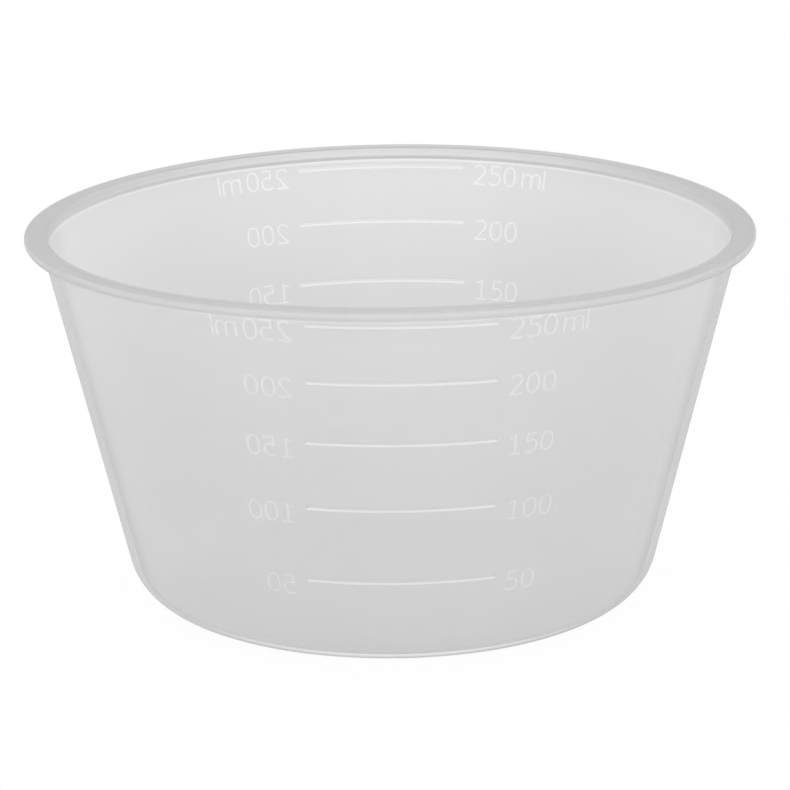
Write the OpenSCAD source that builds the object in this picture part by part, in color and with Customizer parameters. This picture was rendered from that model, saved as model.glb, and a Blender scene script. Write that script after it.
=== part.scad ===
// Graduated bowl, 250 ml, moulded in one piece of natural polypropylene.
// Origin at the middle of the foot, on the surface that the bowl stands on. +Z up, millimetres.

/* [Bowl] */
// Height from the standing surface to the top of the rim
bowl_h = 51.8; // [46:0.1:62]
// Outside diameter that the wall would have at the standing surface, were the foot not rounded
foot_d = 70.7; // [64:0.1:78]
// Outside diameter of the wall at the underside of the flange
mouth_d = 95.1; // [90:0.1:106]
// Thickness of the wall, square to its slope
wall_t = 0.95; // [0.6:0.05:1.4]
// Thickness of the bottom
bottom_t = 0.8; // [0.7:0.05:1.8]
// Outside radius of the round from the bottom into the wall
foot_round = 7.3; // [5:0.1:9]
// Inside radius of the same round
inside_round = 5; // [3.5:0.1:8]

/* [Rim] */
// How far the flange stands out past the mouth of the wall
flange_out = 2.3; // [1.6:0.05:4]
// Thickness of the flange
flange_t = 1.25; // [1:0.05:1.6]
// Rounding of the flange's top outer edge
flange_round = 0.3; // [0.1:0.02:0.38]
// Rounding of the flange's lower outer edge, as a share of its thickness
flange_under = 0.6; // [0.3:0.02:0.6]
// Rounding under the flange, where it meets the wall
neck_round = 0.6; // [0.2:0.05:1]
// Depth of the straight lip inside the rim, down to the ledge where the cone of the wall begins
lip_h = 1.5; // [1.3:0.05:2.4]
// Width of the ledge under the straight lip
lip_ledge = 0.15; // [0.05:0.01:0.3]
// Rounding of the lip's inner top edge
lip_round = 0.25; // [0.15:0.05:1]

/* [Foot] */
// Width of the ring that the bowl stands on
ring_w = 2.4; // [1:0.1:6]
// Depth of the recess inside that ring
recess_h = 0.25; // [0.1:0.05:0.4]
// Diameter of the gate mark in the middle of the recess
gate_d = 2.6; // [1:0.1:5]
// Height of the gate mark, as a share of the recess's depth
gate_share = 0.6; // [0.2:0.05:0.9]

/* [Graduation] */
// Volume at the lowest line, and from each line to the next, in millilitres at the middle of the line
line_step_ml = 50; // [25:1:60]
// Number of sets of lines, evenly spaced round the bowl
set_count = 2; // [1:1:4]
// Length of each line, measured straight across
line_len = 24.7; // [10:0.1:34]
// Width of the raised line, up the wall
line_w = 0.75; // [0.5:0.05:1.2]
// Height of the raised line above the inside of the wall
line_rise = 0.2; // [0.1:0.02:0.4]
// Slope of the line's upper and lower sides, so that it leaves the mould
line_draft = 25; // [5:1:30]

/* [Hidden] */
// Smoothness of the round forms
$fn = 180;
// Cuts run this far past the faces that they open
past = 1;
// Colour of the natural polypropylene
natural_pp = [0.86, 0.87, 0.87, 0.8];

// The wall is a cone, described by its radius at a height
flange_z = bowl_h - flange_t;
wall_slope = (mouth_d - foot_d) / 2 / flange_z;
wall_angle = atan(wall_slope);
wall_across = wall_t / cos(wall_angle);
function outside_r(z) = foot_d / 2 + z * wall_slope;
function inside_r(z) = outside_r(z) - wall_across;

// A round that touches a level floor and a wall that leans out: where its middle is, and how high it ends
function round_end(r) = r * (1 - sin(wall_angle));
foot_x = outside_r(foot_round) - foot_round / cos(wall_angle);
inside_z = bottom_t + inside_round;
inside_x = inside_r(inside_z) - inside_round / cos(wall_angle);
cone_z = bottom_t + round_end(inside_round);

// The flange, and the straight lip inside it
rim_r = mouth_d / 2 + flange_out;
lip_z = bowl_h - lip_h;
lip_r = inside_r(lip_z) + lip_ledge;

// Millilitres in the bowl up to a height: thin slices over the bottom and its round, then a frustum
slices = 40;
slice_h = (cone_z - bottom_t) / slices;
function round_r(z) = inside_x + sqrt(pow(inside_round, 2) - pow(inside_z - z, 2));
function slices_mm3(count) = count == 0 ? 0
    : PI * pow(round_r(bottom_t + (count - 0.5) * slice_h), 2) * slice_h + slices_mm3(count - 1);
function frustum_mm3(low, high) = PI * (high - low) / 3
    * (pow(inside_r(low), 2) + inside_r(low) * inside_r(high) + pow(inside_r(high), 2));
round_mm3 = slices_mm3(slices);
function ml_at(z) = (round_mm3 + frustum_mm3(cone_z, z)) / 1000;

// The height of a volume, found by halving the stretch that it lies in
function height_of(ml, low, high, turns) = let (middle = (low + high) / 2)
    turns == 0 ? middle
    : ml_at(middle) < ml ? height_of(ml, middle, high, turns - 1)
    : height_of(ml, low, middle, turns - 1);

// The graduation goes on up to the last whole step whose line lies clear of the ledge
line_clear = 0.15;
top_line_z = lip_z - line_w / 2 - line_clear;
line_count = floor(ml_at(top_line_z) / line_step_ml);
function line_z(number) = height_of(number * line_step_ml, cone_z, top_line_z, 30);

bowl();

// The bowl: the turned body, with the sets of raised lines on the inside of its wall
module bowl() {
    color(natural_pp) {
        body();
        for (set = [0 : set_count - 1], number = [1 : line_count])
            rotate(270 + set * 360 / set_count) graduation_line(line_z(number));
    }
}

// Bottom, wall and rim as one turned section, with the recess and its gate mark underneath
module body() {
    recess_r = foot_x - ring_w;
    difference() {
        rotate_extrude() difference() {
            outside_section();
            inside_section();
        }
        translate([0, 0, -past]) difference() {
            cylinder(h = past + recess_h, r = recess_r);
            translate([0, 0, past + recess_h * (1 - gate_share)]) cylinder(h = past, d = gate_d);
        }
    }
}

// Half section of the filled outside: foot, cone, neck and flange
module outside_section() {
    foot_half(foot_x, foot_round);
    cone_half(foot_round, 0, flange_z + flange_t / 2, 0);
    neck();
    flange();
}

// Half section of the hollow: bottom round, cone and straight lip
module inside_section() {
    translate([0, bottom_t]) foot_half(inside_x, inside_round);
    cone_half(inside_round, bottom_t, lip_z, wall_across);
    lip();
}

// The floor and its round, up to where the round meets the wall
module foot_half(middle_x, r) {
    square([middle_x, round_end(r)]);
    intersection() {
        translate([middle_x, r]) circle(r);
        translate([middle_x, 0]) square([r, round_end(r)]);
    }
}

// The cone from the top of a round that starts at a floor, up to a height, moved in by a distance
module cone_half(r, floor_z, high, inwards) {
    low = floor_z + round_end(r);
    polygon([[0, low], [outside_r(low) - inwards, low], [outside_r(high) - inwards, high], [0, high]]);
}

// The hollow round under the flange
module neck() {
    middle = [outside_r(flange_z - neck_round) + neck_round / cos(wall_angle), flange_z - neck_round];
    touch = middle + neck_round * [-cos(wall_angle), sin(wall_angle)];
    root_z = flange_z + flange_t / 2;
    difference() {
        polygon([
            [touch.x - wall_across / 2, touch.y], touch, middle,
            [middle.x, root_z], [touch.x - wall_across / 2, root_z]
        ]);
        translate(middle) circle(neck_round);
    }
}

// The flange: flat on top and below, with a small round at its top edge and a full one at its lower edge
module flange() {
    under_r = flange_under * flange_t;
    translate([0, flange_z]) {
        square([rim_r - under_r, flange_t]);
        translate([0, under_r]) {
            square([rim_r - flange_round, flange_t - under_r]);
            square([rim_r, flange_t - under_r - flange_round]);
        }
        translate([rim_r - under_r, under_r]) intersection() {
            circle(under_r);
            translate([0, -under_r]) square(under_r);
        }
        translate([rim_r - flange_round, flange_t - flange_round]) circle(flange_round);
    }
}

// The straight lip, opening out round its top edge
module lip() {
    translate([0, lip_z]) square([lip_r, lip_h + past]);
    difference() {
        translate([0, bowl_h - lip_round]) square([lip_r + lip_round, lip_round + past]);
        translate([lip_r + lip_round, bowl_h - lip_round]) circle(lip_round);
    }
}

// One raised line, centred on +X at a height, as long straight across as every other
module graduation_line(z) {
    half_angle = asin(line_len / 2 / inside_r(z));
    crest_w = line_w - 2 * line_rise * tan(line_draft);
    root = wall_t / 2;
    root_w = line_w + 2 * root * tan(line_draft);
    rotate(-half_angle) rotate_extrude(angle = 2 * half_angle)
        translate([inside_r(z), z]) rotate(-wall_angle) polygon([
            [-line_rise, -crest_w / 2], [root, -root_w / 2], [root, root_w / 2], [-line_rise, crest_w / 2]
        ]);
}
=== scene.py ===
"""Graduated bowl of natural polypropylene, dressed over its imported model. Metres, +Z up."""
import math

import bpy
import numpy as np
from mathutils import Matrix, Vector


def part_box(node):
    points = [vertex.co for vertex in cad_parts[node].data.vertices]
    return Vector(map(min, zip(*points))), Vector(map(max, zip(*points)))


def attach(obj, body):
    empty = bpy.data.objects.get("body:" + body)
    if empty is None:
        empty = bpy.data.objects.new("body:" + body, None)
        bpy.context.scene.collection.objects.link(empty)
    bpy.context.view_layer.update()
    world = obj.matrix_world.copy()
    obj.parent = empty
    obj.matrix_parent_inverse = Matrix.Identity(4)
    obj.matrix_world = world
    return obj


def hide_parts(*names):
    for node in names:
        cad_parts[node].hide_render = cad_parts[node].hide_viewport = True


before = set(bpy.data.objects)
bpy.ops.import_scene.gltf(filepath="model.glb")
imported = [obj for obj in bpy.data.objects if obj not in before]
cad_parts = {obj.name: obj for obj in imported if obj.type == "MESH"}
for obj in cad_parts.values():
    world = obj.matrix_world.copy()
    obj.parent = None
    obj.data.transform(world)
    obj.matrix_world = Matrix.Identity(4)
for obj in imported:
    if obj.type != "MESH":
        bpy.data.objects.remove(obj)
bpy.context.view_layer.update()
mm = 0.001


# Bowl
# One injection moulding of undyed polypropylene: a cone-shaped wall under a millimetre thick, a flat flange
# round the rim, a rounded foot and a recessed underside with the mark of the gate. The thin rim sprang a
# little out of flat as it cooled.
cad_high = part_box("bowl")[1]
bowl_h = cad_high.z
rim_r = cad_high.x
flange_out, flange_t, flange_round, flange_under = 2.3 * mm, 1.25 * mm, 0.3 * mm, 0.75 * mm
neck_round = 0.6 * mm
lip_h, lip_ledge, lip_round = 1.5 * mm, 0.15 * mm, 0.25 * mm
foot_r, foot_round, inside_round = 35.35 * mm, 7.3 * mm, 5.0 * mm
wall_t, bottom_t = 0.95 * mm, 0.8 * mm
ring_w, recess_h = 2.4 * mm, 0.25 * mm
gate_r, gate_z = 1.3 * mm, 0.1 * mm
edge_round = 0.06 * mm

flange_z = bowl_h - flange_t
wall_slope = (rim_r - flange_out - foot_r) / flange_z
wall_angle = math.atan(wall_slope)
wall_across = wall_t / math.cos(wall_angle)


def outside_r(z):
    """Radius of the outside of the wall: a straight line from the foot to the flange."""
    return foot_r + z * wall_slope


def inside_r(z):
    """Radius of the inside of the wall: the outside less the wall's thickness, measured level."""
    return outside_r(z) - wall_across


foot_x = outside_r(foot_round) - foot_round / math.cos(wall_angle)
inside_z = bottom_t + inside_round
inside_x = inside_r(inside_z) - inside_round / math.cos(wall_angle)
cone_z = bottom_t + inside_round * (1 - math.sin(wall_angle))
lip_z = bowl_h - lip_h
lip_r = inside_r(lip_z) + lip_ledge

# The five lines of each set: their volumes, the bar that marks each, and how far its sides and ends slope
line_ml = np.array([50, 100, 150, 200, 250])
line_len, line_w, line_rise = 24.7 * mm, 0.75 * mm, 0.2 * mm
upper_side, lower_side, line_end = 0.1 * mm, 0.3 * mm, 0.3 * mm
# How much lower the core was cut than the volume asks, for each step down from the top line
line_drop = 0.095 * mm
# Levels at which the inside is measured to find its volume
volume_levels = 4000


def line_heights():
    """Heights at which the inside holds the lines' volumes: slices of pi r squared, added up from below."""
    z = np.linspace(bottom_t, lip_z, volume_levels)
    in_round = inside_x + np.sqrt(np.maximum(inside_round ** 2 - (inside_z - z) ** 2, 0))
    r = np.where(z < cone_z, in_round, inside_r(z))
    slice_ml = math.pi * (r[1:] ** 2 + r[:-1] ** 2) / 2 * np.diff(z) / mm ** 3 / 1000
    return np.interp(line_ml, np.concatenate([[0], np.cumsum(slice_ml)]), z)


line_z = line_heights() - line_drop * np.arange(len(line_ml))[::-1]


def arc(middle, radius, start, end, steps):
    """Points of an arc in the half section: middle plus radius times cosine and sine, from start to end."""
    turn = np.linspace(start, end, steps)
    return np.stack([middle[0] + radius * np.cos(turn), middle[1] + radius * np.sin(turn)], -1)


def straight(start, end, steps):
    """Points spaced evenly along a straight line, both ends left out."""
    share = np.linspace(0, 1, steps + 2)[1:-1, None]
    return np.array(start) * (1 - share) + np.array(end) * share


# Points along each round of the section, and between the ends of its straight stretches
edge_points, neck_points, top_points, under_points, lip_points, foot_points = 4, 6, 6, 10, 8, 14
short_points, recess_points, wall_points, floor_points = 2, 6, 16, 5
# Rows of points on the inside of the wall: down a bar's two sides, just past it, to each side of the middle
# between two bars, and the lowest
upper_rows, lower_rows, past_bar, beside_middle, lowest_row = 5, 6, 0.03 * mm, 2 * mm, 8 * mm


def half_section():
    """The bowl's half section as one path: out underneath, up outside, over the rim and down inside."""
    down, out, up, level_in = -math.pi / 2, 0, math.pi / 2, math.pi
    recess_r = foot_x - ring_w
    neck = (outside_r(flange_z - neck_round) + neck_round / math.cos(wall_angle), flange_z - neck_round)
    foot_arc = arc((foot_x, foot_round), foot_round, down, -wall_angle, foot_points)
    neck_arc = arc(neck, neck_round, math.pi - wall_angle, up, neck_points)
    inside_arc = arc((inside_x, inside_z), inside_round, -wall_angle, down, foot_points)
    foot = line_w / 2
    upper = np.linspace(foot, foot - upper_side, upper_rows)
    lower = np.linspace(lower_side - foot, -foot, lower_rows)
    across_bar = np.concatenate([[foot + past_bar], upper, lower, [-foot - past_bar]]) * math.cos(wall_angle)
    bar_z = np.concatenate([z + across_bar for z in line_z])
    middle = (line_z[1:] + line_z[:-1]) / 2
    between = np.concatenate([middle, middle + beside_middle, middle - beside_middle, [lowest_row]])
    wall_z = np.sort(np.concatenate([bar_z, between]))[::-1]
    return np.concatenate([
        [(0, gate_z)], straight((0, gate_z), (gate_r, gate_z), short_points),
        arc((gate_r - edge_round, gate_z + edge_round), edge_round, down, out, edge_points),
        arc((gate_r + edge_round, recess_h - edge_round), edge_round, level_in, up, edge_points),
        straight((gate_r, recess_h), (recess_r, recess_h), recess_points),
        arc((recess_r - edge_round, recess_h - edge_round), edge_round, up, out, edge_points),
        arc((recess_r + edge_round, edge_round), edge_round, -math.pi, down, edge_points),
        foot_arc,
        straight(foot_arc[-1], neck_arc[0], wall_points),
        neck_arc,
        arc((rim_r - flange_under, flange_z + flange_under), flange_under, down, out, under_points),
        arc((rim_r - flange_round, bowl_h - flange_round), flange_round, out, up, top_points),
        straight((rim_r - flange_round, bowl_h), (lip_r + lip_round, bowl_h), short_points),
        arc((lip_r + lip_round, bowl_h - lip_round), lip_round, up, level_in, lip_points),
        arc((lip_r - edge_round, lip_z + edge_round), edge_round, out, down, edge_points),
        arc((inside_r(lip_z) + edge_round, lip_z - edge_round), edge_round, up, level_in - wall_angle,
            edge_points),
        np.stack([inside_r(wall_z), wall_z], -1),
        inside_arc,
        straight(inside_arc[-1], (0, bottom_t), floor_points), [(0, bottom_t)],
    ])


def eased(distance, length):
    """From 0 to 1 over a length: the share of it, squared, times three less twice that share."""
    share = np.clip(distance / length, 0, 1)
    return share * share * (3 - 2 * share)


def bar_height(across):
    """How high a bar stands at a distance up it: a steep upper side, a flat crest and a long lower slope."""
    foot = line_w / 2
    return line_rise * np.minimum(eased(foot - across, upper_side), eased(foot + across, lower_side))


# A point this near the inside of the wall is taken as on it
near_wall = 0.01 * mm


def raised(r, z, turn):
    """How far the bars stand in from the wall: their height, eased away half a length from the Y axis."""
    length = eased(line_len / 2 - np.abs(r * np.cos(turn)), line_end)
    on_wall = (r < inside_r(z) + near_wall) & (z > cone_z) & (z < lip_z - edge_round)
    height = sum(bar_height((z - level) / math.cos(wall_angle)) for level in line_z)
    return np.where(on_wall, height * length, 0)


# How far the rim rose and sank out of flat, and the direction in which it sank most; then one more rise, with
# its direction, how narrow it is round the rim, and how steeply it dies away below it
spring, spring_turn = 0.28 * mm, math.radians(-14.6)
rise, rise_turn, rise_narrow, rise_steep = 0.34 * mm, math.radians(-80), 8, 12


def sprung(x, y, z):
    """The moulding's last shape: a cosine of twice the turn, times the share of the height, is two dips and
    two rises. The further rise is half of one plus the cosine of the turn from it, to a power, times the
    share of the height, to a power."""
    turn = np.arctan2(y, x)
    lift = rise * ((1 + np.cos(turn - rise_turn)) / 2) ** rise_narrow * (z / bowl_h) ** rise_steep
    return np.stack([x, y, z - spring * np.cos(2 * (turn - spring_turn)) * z / bowl_h + lift], -1)


# Even steps round the bowl, and the close ones at the end of a bar, by how far they lie in from that end
even_turns = 288
close_steps = np.array([-0.02, 0.05, 0.12, 0.2, 0.32]) * mm


def turns_round():
    """Angles round the bowl, even, with a close group at each end of each bar so that the ends are crisp."""
    even = np.linspace(0, 2 * math.pi, even_turns, endpoint=False)
    side = line_len / 2 - close_steps
    close = np.arccos(side[:, None] / inside_r(line_z)[None, :]).ravel()
    close = np.concatenate([close, math.pi - close, math.pi + close, 2 * math.pi - close])
    return np.unique(np.round(np.concatenate([even, close]), 6))


def mesh_object(name, points, faces):
    """A smooth-shaded object from arrays of points and of quads or triangles."""
    mesh = bpy.data.meshes.new(name)
    mesh.from_pydata(points.tolist(), [], faces)
    mesh.validate()
    mesh.shade_smooth()
    piece = bpy.data.objects.new(name, mesh)
    bpy.context.scene.collection.objects.link(piece)
    return piece


def turned_bowl():
    """The half section carried round the Z axis: a grid of section point by angle, a fan at each pole."""
    section, turn = half_section(), turns_round()
    r, z = section[1:-1, 0, None], section[1:-1, 1, None]
    r = r - raised(r, z, turn[None, :])
    z = np.broadcast_to(z, r.shape)
    ring = sprung(r * np.cos(turn), r * np.sin(turn), z).reshape(-1, 3)
    poles = [(0, 0, section[0, 1]), (0, 0, section[-1, 1])]
    rows, count = r.shape
    index = np.arange(rows * count).reshape(rows, count)
    after = np.roll(index, -1, 1)
    quads = np.stack([index[:-1], after[:-1], after[1:], index[1:]], -1).reshape(-1, 4)
    under = np.stack([np.full(count, rows * count), after[0], index[0]], -1)
    floor = np.stack([np.full(count, rows * count + 1), index[-1], after[-1]], -1)
    faces = quads.tolist() + under.tolist() + floor.tolist()
    return mesh_object("moulded_bowl", np.concatenate([ring, poles]), faces)


bowl = turned_bowl()


# Volume figures
# Figures raised on the inside of the wall by the same moulding, cut with a round tool into its core. Beside
# each end of every line stands the volume, once to be read from inside the bowl and once through the wall.
figure_h, stroke_w, stroke_rise = 2.7 * mm, 0.34 * mm, 0.14 * mm
# Where they start, along the wall from the middle of the line, and how far their tops stand above that middle
figure_start, figure_top = 14.2 * mm, 0.3 * mm
# In shares of their height: how wide most are, the step from one to the next, and the gap before the unit
figure_w, figure_step, unit_gap = 0.62, 0.877, 0.2
# Points along a stretch of curve, along a straight stroke, and round a stroke's section
curve_points, bar_points, bead_points = 9, 7, 12
# Rings of a stroke's rounded end, in shares of its half width past the end
end_rings = np.array([0.98, 0.8, 0.45])


def curve(start, *stretches):
    """A stroke's path: a start point, then stretches of cubic curve, each of two handles and an end point."""
    share = np.linspace(0, 1, curve_points)[1:, None]
    path = [np.array([start], float)]
    for handle_a, handle_b, end in stretches:
        a, b, c, d = path[-1][-1], np.array(handle_a), np.array(handle_b), np.array(end)
        path.append((1 - share) ** 3 * a + 3 * share * (1 - share) ** 2 * b
                    + 3 * share ** 2 * (1 - share) * c + share ** 3 * d)
    return np.concatenate(path)


def bar(start, end):
    """A straight stroke, in enough steps to follow the wall."""
    return np.linspace(start, end, bar_points)


# Each figure's width and strokes, in shares of the figures' height
FIGURES = {
    "0": (0.62, [curve((0.31, 1), ((0.52, 1), (0.62, 0.8), (0.62, 0.5)), ((0.62, 0.2), (0.52, 0), (0.31, 0)),
                       ((0.1, 0), (0, 0.2), (0, 0.5)), ((0, 0.8), (0.1, 1), (0.31, 1)))]),
    "1": (0.62, [bar((0.06, 0.86), (0.33, 1)), bar((0.33, 1), (0.33, 0)), bar((0.04, 0), (0.6, 0))]),
    "2": (0.62, [curve((0.04, 0.9), ((0.16, 1), (0.22, 1), (0.3, 1)), ((0.48, 1), (0.57, 0.88), (0.57, 0.74)),
                       ((0.57, 0.56), (0.4, 0.42), (0.02, 0))), bar((0.02, 0), (0.62, 0))]),
    "5": (0.6, [bar((0.56, 1), (0.12, 1)), bar((0.12, 1), (0.09, 0.58)),
                curve((0.09, 0.58), ((0.2, 0.63), (0.26, 0.63), (0.3, 0.63)),
                      ((0.5, 0.63), (0.6, 0.5), (0.6, 0.32)), ((0.6, 0.12), (0.46, 0), (0.26, 0)),
                      ((0.16, 0), (0.08, 0.02), (0.02, 0.06)))]),
    "m": (1.04, [bar((0, 0), (0, 0.74)),
                 curve((0, 0.5), ((0.04, 0.66), (0.14, 0.74), (0.28, 0.74)),
                       ((0.44, 0.74), (0.52, 0.64), (0.52, 0.46)), ((0.52, 0.3), (0.52, 0.15), (0.52, 0))),
                 curve((0.52, 0.5), ((0.56, 0.66), (0.66, 0.74), (0.8, 0.74)),
                       ((0.96, 0.74), (1.04, 0.64), (1.04, 0.46)), ((1.04, 0.3), (1.04, 0.15), (1.04, 0)))]),
    "l": (0, [bar((0, 0), (0, 1))]),
}


def written(words, order):
    """The first, second or third stroke of each figure in a row of them, in shares of their height."""
    strokes, left = [], 0
    for letter in words:
        if letter == " ":
            left += unit_gap
            continue
        width, paths = FIGURES[letter]
        strokes += [path + (left, 0) for path in paths[order:order + 1]]
        left += width + figure_step - figure_w
    return strokes


def bead(path, closed):
    """A raised stroke: a flattened round section carried along a path, shrinking past each open end.

    The path is in metres along and up the wall. Returned are along, up and out of the wall, by ring and by
    point of the section, which has its lower half in the wall.
    """
    cap = stroke_w / 2
    if closed:
        middle, thick = path[:-1], np.ones(len(path) - 1)
        along = np.roll(middle, -1, 0) - np.roll(middle, 1, 0)
    else:
        first, last = path[0] - path[1], path[-1] - path[-2]
        ahead = path[0] + first / np.linalg.norm(first) * cap * end_rings[:, None]
        beyond = path[-1] + last / np.linalg.norm(last) * cap * end_rings[::-1, None]
        narrow = np.sqrt(1 - end_rings ** 2)
        thick = np.concatenate([narrow, np.ones(len(path)), narrow[::-1]])
        middle = np.concatenate([ahead, path, beyond])
        along = np.gradient(middle, axis=0)
    along /= np.linalg.norm(along, axis=1)[:, None]
    square = np.stack([-along[:, 1], along[:, 0]], -1)
    turn = np.linspace(0, 2 * math.pi, bead_points, endpoint=False)
    wide = cap * np.cos(turn) * thick[:, None]
    out = stroke_rise * np.sin(turn) * thick[:, None]
    flat = middle[:, None, :] + square[:, None, :] * wide[..., None]
    return np.concatenate([flat, out[..., None]], -1)


def figures(order):
    """The strokes of one order in every figure, so that none touch: along the wall becomes an angle."""
    points, faces, total = [], [], 0
    for set_turn in (-math.pi / 2, math.pi / 2):
        for reader in (1, -1):
            for level, volume in zip(line_z, line_ml):
                words = f"{volume} ml" if volume == line_ml[-1] else str(volume)
                for path in written(words, order):
                    closed = np.allclose(path[0], path[-1])
                    shape = bead(path * figure_h + (figure_start, figure_top - figure_h), closed)
                    z = level + shape[..., 1] * math.cos(wall_angle)
                    r = inside_r(z) - shape[..., 2]
                    turn = set_turn + reader * shape[..., 0] / inside_r(level)
                    points.append(sprung(r * np.cos(turn), r * np.sin(turn), z).reshape(-1, 3))
                    rings, count = shape.shape[:2]
                    index = total + np.arange(rings * count).reshape(rings, count)
                    rows = np.concatenate([index, index[:1]]) if closed else index
                    after = np.roll(rows, -1, 1)
                    quads = np.stack([rows[:-1], after[:-1], after[1:], rows[1:]], -1).reshape(-1, 4)
                    ends = [] if closed else [index[0][::-1].tolist(), index[-1].tolist()]
                    if reader == 1:
                        quads, ends = quads[:, ::-1], [end[::-1] for end in ends]
                    faces += quads.tolist() + ends
                    total += rings * count
    return mesh_object(f"figures_{order}", np.concatenate(points), faces)


# Edges sharper than this keep their crease
crease = math.radians(32)


def grown_together(piece, parts):
    """One skin round a piece and the parts that stand in it, with creases kept where they meet."""
    for part in parts:
        union = piece.modifiers.new(part.name, "BOOLEAN")
        union.operation, union.solver, union.object = "UNION", "MANIFOLD", part
    whole = bpy.data.meshes.new_from_object(piece.evaluated_get(bpy.context.evaluated_depsgraph_get()))
    whole.materials.clear()
    piece.modifiers.clear()
    piece.data = whole
    whole.shade_smooth()
    whole.set_sharp_from_angle(angle=crease)
    for part in parts:
        bpy.data.objects.remove(part)


most_strokes = max(len(strokes) for width, strokes in FIGURES.values())
grown_together(bowl, [figures(order) for order in range(most_strokes)])
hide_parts("bowl")
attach(bowl, "root")


# Natural polypropylene
# Undyed, milky and satin from the mould: light that enters comes out on both sides of the wall, softened, and
# a little passes straight through. The rim is less clear. Light and shade are painted into the tone by
# height, by side, and on the rim and the marks.
class Wire:
    """A socket in a node tree, with arithmetic: an expression on values adds the Math nodes that it needs."""

    def __init__(self, tree, socket):
        self.tree, self.socket = tree, socket

    def node(self, kind, settings=(), **inputs):
        """Add a node: settings by name first, then values or wires for inputs, by name with _ for a space."""
        made = self.tree.nodes.new(kind)
        for key, value in dict(settings).items():
            setattr(made, key, value)
        for key, value in inputs.items():
            place = int(key[1:]) if key[1:].isdigit() else key.replace("_", " ")
            if isinstance(value, Wire):
                self.tree.links.new(value.socket, made.inputs[place])
            else:
                made.inputs[place].default_value = value
        return made

    def pick(self, kind, output, settings=(), **inputs):
        """Add a node and take one of its outputs."""
        return Wire(self.tree, self.node(kind, settings, **inputs).outputs[output])

    def math(self, operation, first, second=0.0, clamp=False):
        """Add a Math node on one or two values or wires."""
        settings = {"operation": operation, "use_clamp": clamp}
        return self.pick("ShaderNodeMath", 0, settings, i0=first, i1=second)

    def __add__(self, other):
        return self.math("ADD", self, other)

    def __sub__(self, other):
        return self.math("SUBTRACT", self, other)

    def __rsub__(self, other):
        return self.math("SUBTRACT", other, self)

    def __mul__(self, other):
        return self.math("MULTIPLY", self, other)

    def __truediv__(self, other):
        return self.math("DIVIDE", self, other)

    __radd__, __rmul__ = __add__, __mul__

    def ramp(self, low, high):
        """0 below low, 1 above high, smooth between."""
        return self.pick("ShaderNodeMapRange", 0, {"interpolation_type": "SMOOTHSTEP"},
                         Value=self, From_Min=low, From_Max=high)

    def band(self, low, low_end, high, high_end):
        """0 outside a stretch and 1 inside it, smooth from low to low_end and from high to high_end."""
        return self.ramp(low, low_end) * (1 - self.ramp(high, high_end))


# How light the plastic is on the wall's two skins, set a little apart as painted light; then painted shade on
# the inside towards the foot, painted light on the foot and the floor, painted light and shade on the bowl's
# sides, and painted light on the inside seen through the wall
outside_shade, inside_shade, inside_painted_shade, foot_painted_light, floor_painted_light = 0.772, 0.79, 0.08, 0.033, 0.1
side_painted_light, side_painted_shade, through_painted_light = 0.016, 0.03, 0.036
# The shares of the height between which those fade, and for the sides, the squares of the direction's X
painted_fall_over, foot_light_over, floor_light_over, through_light_over = (0.4, 1.0), (0.08, 0.5), (0.02, 0.08), (0.1, 0.3)
side_shade_over, sides_over = (0.7, 1.0), (0.0, 0.2)

# The lip against the wall with its painted light, the painted shade in the corner over its ledge, the painted
# highlight under it, the painted light on the neck and the painted shade on the face of the flange; then what
# the two sides of the bowl take from each, and the painted light that the far side gives the rim and the
# painted shade it gives the crown
lip_painted_light, corner_painted_shade, ledge_painted_highlight, neck_painted_light, face_painted_shade = 0.045, 0.25, 0.125, 0.15, 0.06
lip_side_painted_shade, corner_side, ledge_side, rim_side_painted_shade = 0.08, 0.9, 0.7, 0.03
rim_back_painted_light, crown_back_painted_shade, back_over = 0.045, 0.15, (0.5, 1.0)
# The levels between which each of them comes and goes, and the distances from its edge for the lip, the face
# and the crown, which is the inner part of the flange's top
corner_shade_band = lip_z - 0.02 * mm, lip_z + 0.02 * mm, lip_z + 0.3 * mm, lip_z + 0.6 * mm
ledge_highlight_band = lip_z - 0.4 * mm, lip_z - 0.3 * mm, lip_z - 0.02 * mm, lip_z
neck_light_band = lip_z - 1.0 * mm, lip_z - 0.3 * mm, flange_z + 0.1 * mm, flange_z + 0.4 * mm
face_shade_band = flange_z + 0.1 * mm, flange_z + 0.3 * mm, flange_z + 0.5 * mm, flange_z + 0.9 * mm
soft_edge, face_over, crown_over, crown_r = 0.1 * mm, (0.1 * mm, 0.5 * mm), (-0.2 * mm, 0.3 * mm), 47.9 * mm

# The marks: the painted highlight on the lines' sides that face down, more so through the wall, the painted
# shade on sides that face up, the painted light on their crests, and the painted light that makes the strokes
# lighter
under_painted_highlight, through_painted_highlight, over_painted_shade, crest_painted_light, stroke_painted_light = 0.18, 0.26, 0.03, 0.07, 0.17
under_over, over_over, clear_over = (0.15, 0.5), (0.0, 0.6), (0.1, 0.5)
# Where the marks may lie: above the foot as a share of the height, below the ledge, how far they stand out of
# the wall, and how far from the Y axis the lines end and the strokes begin
above_foot, below_ledge = (0.1, 0.12), (lip_z - 0.15 * mm, lip_z - 0.1 * mm)
proud_over, past_line = (0.01 * mm, 0.05 * mm), (line_len / 2 + 0.2 * mm, line_len / 2 + 0.4 * mm)

# Faint clouds in the plastic and the fine grain of the mould: blobs to the metre, and how strong each shows
clouds_look = {"Scale": 60.0, "Detail": 3.0, "Roughness": 0.55}
grain_look = {"Scale": 2600.0, "Detail": 2.0, "Roughness": 0.6}
cloud_shade, cloud_rough, grain_share, grain_depth = 0.02, 0.1, 0.08, 0.05 * mm
# A trace of green, the satin surface, and half of the light let through
red_blue, satin, ior, gloss, let_through = 0.998, 0.36, 1.49, 0.12, 0.5
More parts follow.
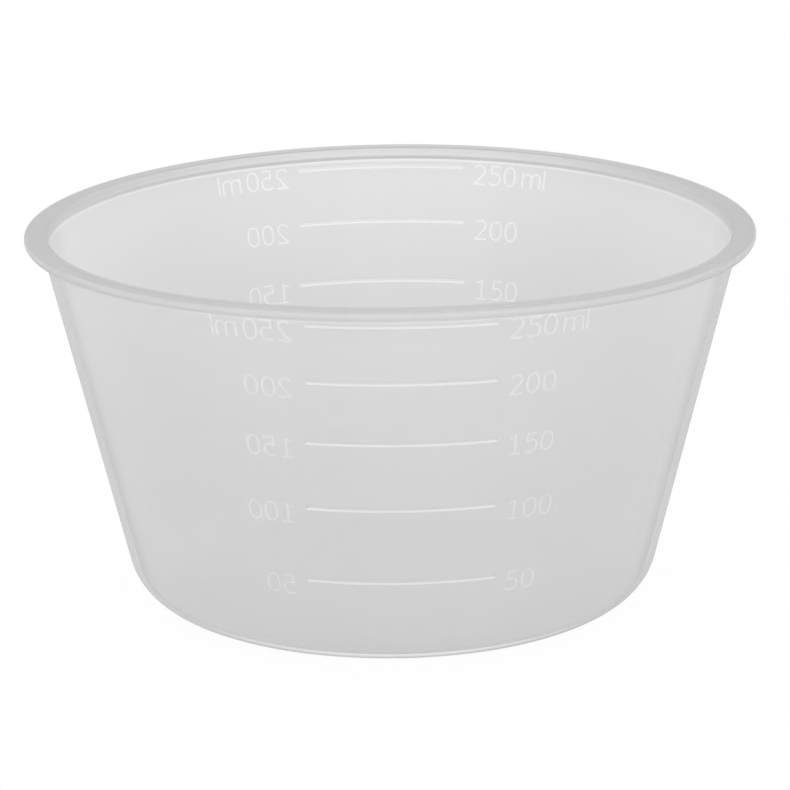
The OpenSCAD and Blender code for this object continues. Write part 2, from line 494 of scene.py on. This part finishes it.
# How much of each skin is clear, and more under the lines, and what of it turns milky or dim where the skin
# is seen edge on, and at the rim
clear_outside, clear_inside, under_clear = 0.82, 0.2, 0.3
edge_milk, edge_tint, rim_edge_milk, rim_milk = 0.85, 0.8, 0.35, 0.6
edge_over, tint_over = (0.68, 0.8), (0.66, 0.83)

# The round that runs halfway between the foot's outside and inside rounds, and the fade above its middle
round_x, round_z = (foot_x + inside_x) / 2, (foot_round + inside_z) / 2
round_r, round_over = (foot_round + inside_round) / 2, 0.5 * mm


def natural_polypropylene():
    """The bowl's one material, in Object coordinates: a mask for each part, then its tone, much of it painted
    light and shade, and its clearness.
    """
    material = bpy.data.materials.new("natural_polypropylene")
    material.use_nodes = True
    tree = material.node_tree
    tree.nodes.clear()
    start = Wire(tree, None)

    # Where a point is: its level, its distance and direction from the axis, and how far round to a side
    place = start.pick("ShaderNodeTexCoord", "Object")
    level = start.pick("ShaderNodeSeparateXYZ", "Z", Vector=place)
    height = level / bowl_h
    flat = start.pick("ShaderNodeVectorMath", 0, {"operation": "MULTIPLY"}, i0=place, i1=(1.0, 1.0, 0.0))
    radius = start.pick("ShaderNodeVectorMath", "Value", {"operation": "LENGTH"}, i0=flat)
    outwards = start.pick("ShaderNodeVectorMath", 0, {"operation": "NORMALIZE"}, i0=flat)
    x = start.pick("ShaderNodeSeparateXYZ", "X", Vector=outwards)
    y = start.pick("ShaderNodeSeparateXYZ", "Y", Vector=outwards)
    sides, far = x * x, y.ramp(*back_over)

    # The level it had before the rim sprang
    wave = (sides - y * y) * math.cos(2 * spring_turn) + x * y * (2 * math.sin(2 * spring_turn))
    facing = x * (math.cos(rise_turn) / 2) + y * (math.sin(rise_turn) / 2) + 0.5
    lift = start.math("POWER", facing, rise_narrow) * start.math("POWER", height, rise_steep) * rise
    unsprung = level * (wave * (spring / bowl_h) + 1) - lift

    # On the inner half of the wall or bottom, and which face of the skin is seen
    beyond = start.math("MAXIMUM", radius - round_x, 0.0)
    below = start.math("MAXIMUM", round_z - level, 0.0)
    to_round = start.math("SQRT", beyond * beyond + below * below)
    in_round = start.math("MAXIMUM", (round_r - to_round).ramp(-soft_edge, soft_edge),
                          (level - round_z).ramp(0.0, round_over))
    from_middle = level * wall_slope + (foot_r - wall_across / 2) - radius
    inside = in_round * from_middle.ramp(-wall_t / 6, wall_t / 6)
    back = start.pick("ShaderNodeNewGeometry", "Backfacing")
    direct = inside * (1 - back)

    # The parts of the rim, where light and shade are painted
    rim = unsprung.ramp(lip_z, flange_z)
    lip = rim * (lip_r + lip_round - radius).ramp(-soft_edge, soft_edge)
    corner = direct * unsprung.band(*corner_shade_band)
    ledge = inside * unsprung.band(*ledge_highlight_band)
    neck = (1 - direct) * unsprung.band(*neck_light_band)
    face = (radius - rim_r + flange_under).ramp(*face_over) * unsprung.band(*face_shade_band)
    crown = (rim - lip) * (crown_r - radius).ramp(*crown_over)

    # The marks: how far a face turns down from the wall's own, what stands out of the wall, and its strokes
    on_wall = inside * height.ramp(*above_foot) * (1 - unsprung.ramp(*below_ledge))
    upwards = start.pick("ShaderNodeSeparateXYZ", "Z", Vector=start.pick("ShaderNodeTexCoord", "Normal"))
    under = on_wall * (math.sin(wall_angle) - upwards * (1 - back * 2))
    proud = on_wall * (unsprung * wall_slope + (foot_r - wall_across) - radius).ramp(*proud_over)
    across = start.math("ABSOLUTE", start.pick("ShaderNodeSeparateXYZ", "X", Vector=place))
    stroke = proud * across.ramp(*past_line)

    # Tone: the wall, then the rim, then the marks, each the plastic's own tone with painted light and shade
    # added
    painted_fall = (1 - height.ramp(*painted_fall_over)) * (1 - back) * inside_painted_shade
    wall = (outside_shade + inside * (inside_shade - outside_shade - painted_fall)
            + (1 - height.ramp(*foot_light_over)) * foot_painted_light
            + (1 - height.ramp(*floor_light_over)) * inside * floor_painted_light
            + sides * (1 - rim) * (1 - direct) * side_painted_light - sides.ramp(*side_shade_over) * direct * side_painted_shade
            + inside * back * height.ramp(*through_light_over) * (sides.ramp(*sides_over) + 1) * (through_painted_light / 2))
    painted_edges = (rim * (far * rim_back_painted_light - sides * rim_side_painted_shade) - crown * far * crown_back_painted_shade
             - face * face_painted_shade + neck * neck_painted_light + lip * (lip_painted_light - sides * lip_side_painted_shade)
             - corner * corner_painted_shade * (1 - sides * corner_side)
             + ledge * ledge_painted_highlight * (1 - sides * ledge_side))
    painted_marks = (under.ramp(*under_over) * (back * through_painted_highlight + under_painted_highlight) * (1 - stroke)
             - (under * -1).ramp(*over_over) * over_painted_shade
             + (proud - stroke) * (1 - back) * crest_painted_light + stroke * stroke_painted_light)
    clouds = start.pick("ShaderNodeTexNoise", 0, Vector=place, **clouds_look) - 0.5
    shade = wall + painted_edges + painted_marks + clouds * cloud_shade
    colour = start.pick("ShaderNodeCombineColor", 0, Red=shade * red_blue, Green=shade, Blue=shade * red_blue)

    # Plastic: half of its light comes back and half goes through
    grain = start.pick("ShaderNodeTexNoise", 0, Vector=place, **grain_look)
    bump = start.pick("ShaderNodeBump", 0, Height=grain, Strength=grain_share, Distance=grain_depth)
    body = start.pick("ShaderNodeBsdfPrincipled", 0, Base_Color=colour, IOR=ior, Specular_IOR_Level=gloss,
                      Roughness=clouds * cloud_rough + satin, Normal=bump)
    through = start.pick("ShaderNodeBsdfTranslucent", 0, Color=colour, Normal=bump)
    milky = start.pick("ShaderNodeMixShader", 0, i0=let_through, i1=body, i2=through)

    # Clear share: less where the skin is seen edge on, where it also dims what lies behind
    edge_on = start.pick("ShaderNodeLayerWeight", "Facing", Blend=0.5)
    edge = edge_on.ramp(*edge_over)
    water = start.pick("ShaderNodeBsdfTransparent", 0, Color=(1.0, 1.0, 1.0, 1.0))
    dim = start.pick("ShaderNodeBsdfTransparent", 0, Color=(edge_tint, edge_tint, edge_tint, 1.0))
    clear = start.pick("ShaderNodeMixShader", 0, i0=edge_on.ramp(*tint_over), i1=water, i2=dim)
    open_share = clear_outside - inside * (clear_outside - (1 - edge * edge_milk) * clear_inside)
    open_share = ((open_share + under.ramp(*clear_over) * under_clear)
                  * (1 - rim * (edge * rim_edge_milk + rim_milk)))
    surface = start.pick("ShaderNodeMixShader", 0, i0=open_share, i1=milky, i2=clear)
    start.node("ShaderNodeOutputMaterial", Surface=surface)
    return material


bowl.data.materials.append(natural_polypropylene())


# Studio
# A white table that runs on past the picture, a soft white room and four wide lamps. The table's own glow for
# the camera keeps it white, and the rest of its tone comes from the light, so it shows the bowl's shadow.

# Half the table's width, its level a hair below the foot, and how far it stands aside, which keeps the seam
# between its two triangles out of the picture
table_half, table_z, table_aside = 6.0, -0.02 * mm, 0.3
table_tone, table_glow, glow_share = 0.9, 1.02, 0.92
# How far out and up the lamps stand, their width and their watts, and the light of the room
lamp_out, lamp_up, lamp_size, lamp_watts, room_light = 1.3, 0.5, 1.0, 5.6, 0.5


def table():
    """A flat square, four corners at plus and minus its half width, big enough to fill the picture."""
    across = np.array([(-1, -1), (1, -1), (1, 1), (-1, 1)]) * table_half + (table_aside, 0)
    corners = np.column_stack([across, np.full(4, table_z)])
    floor = mesh_object("table", corners, [[0, 1, 2, 3]])
    material = bpy.data.materials.new("white_table")
    material.use_nodes = True
    tree = material.node_tree
    tree.nodes.clear()
    start = Wire(tree, None)
    seen = start.pick("ShaderNodeLightPath", "Is Camera Ray")
    glossy = start.pick("ShaderNodeLightPath", "Is Glossy Ray")
    clear = start.pick("ShaderNodeLightPath", "Is Transmission Ray")
    glow = start.pick("ShaderNodeEmission", 0, Color=(1.0, 1.0, 1.0, 1.0), Strength=table_glow)
    lit = start.pick("ShaderNodeBsdfDiffuse", 0, Color=(table_tone, table_tone, table_tone, 1.0))
    share = start.math("ADD", seen, glossy + clear, True) * glow_share
    surface = start.pick("ShaderNodeMixShader", 0, i0=share, i1=lit, i2=glow)
    start.node("ShaderNodeOutputMaterial", Surface=surface)
    floor.data.materials.append(material)


def lamp(name, place, aim, size, watts):
    """A square soft lamp at a place, facing a point."""
    light = bpy.data.lights.new(name, "AREA")
    light.size, light.energy = size, watts
    thing = bpy.data.objects.new(name, light)
    back = (np.array(place) - np.array(aim)) / np.linalg.norm(np.array(place) - np.array(aim))
    right = np.cross((0, 0, 1), back)
    right /= np.linalg.norm(right)
    turn = np.eye(4)
    turn[:3, :3] = np.stack([right, np.cross(back, right), back], -1)
    turn[:3, 3] = place
    thing.matrix_world = Matrix(turn.tolist())
    bpy.context.scene.collection.objects.link(thing)


table()
for name, degrees in (("front_left", 225), ("front_right", 315), ("back_right", 45), ("back_left", 135)):
    turn = math.radians(degrees)
    place = lamp_out * math.cos(turn), lamp_out * math.sin(turn), lamp_up
    lamp(name, place, (0, 0, bowl_h / 2), lamp_size, lamp_watts)
room = bpy.data.worlds.new("room")
room.use_nodes = True
room.node_tree.nodes["Background"].inputs["Color"].default_value = (1.0, 1.0, 1.0, 1.0)
room.node_tree.nodes["Background"].inputs["Strength"].default_value = room_light
bpy.context.scene.world = room
bpy.context.scene.view_settings.view_transform = "Standard"


# Camera
# A long lens a little above the rim, a hair to the left of the lines' middle and rolled by half a degree,
# as the picture was taken. Distances are in units of about the rim's radius, from the middle of the rim.
lens, sensor = 169.5, 36.0
azimuth, elevation, roll = math.radians(-1.7323), math.radians(16.1671), math.radians(0.5114)
unit, distance, rim_right, rim_up = 49.65 * mm, 10.2408, -0.0138, 0.4717


def camera():
    """Axes from azimuth and elevation, then the roll, with the rim's middle at rim_right, rim_up in view."""
    right = np.array([math.cos(azimuth), math.sin(azimuth), 0])
    back = np.array([math.cos(elevation) * math.sin(azimuth), -math.cos(elevation) * math.cos(azimuth),
                     math.sin(elevation)])
    up = np.cross(back, right)
    side = math.cos(roll) * right - math.sin(roll) * up
    top = math.sin(roll) * right + math.cos(roll) * up
    eye = np.array([0, 0, bowl_h]) + unit * (back * distance - side * rim_right - top * rim_up)
    turn = np.eye(4)
    turn[:3, :3] = np.stack([side, top, back], -1)
    turn[:3, 3] = eye
    data = bpy.data.cameras.new("camera")
    data.lens, data.sensor_width = lens, sensor
    data.clip_start, data.clip_end = 0.01, 50
    thing = bpy.data.objects.new("camera", data)
    thing.matrix_world = Matrix(turn.tolist())
    bpy.context.scene.collection.objects.link(thing)
    bpy.context.scene.camera = thing


camera()
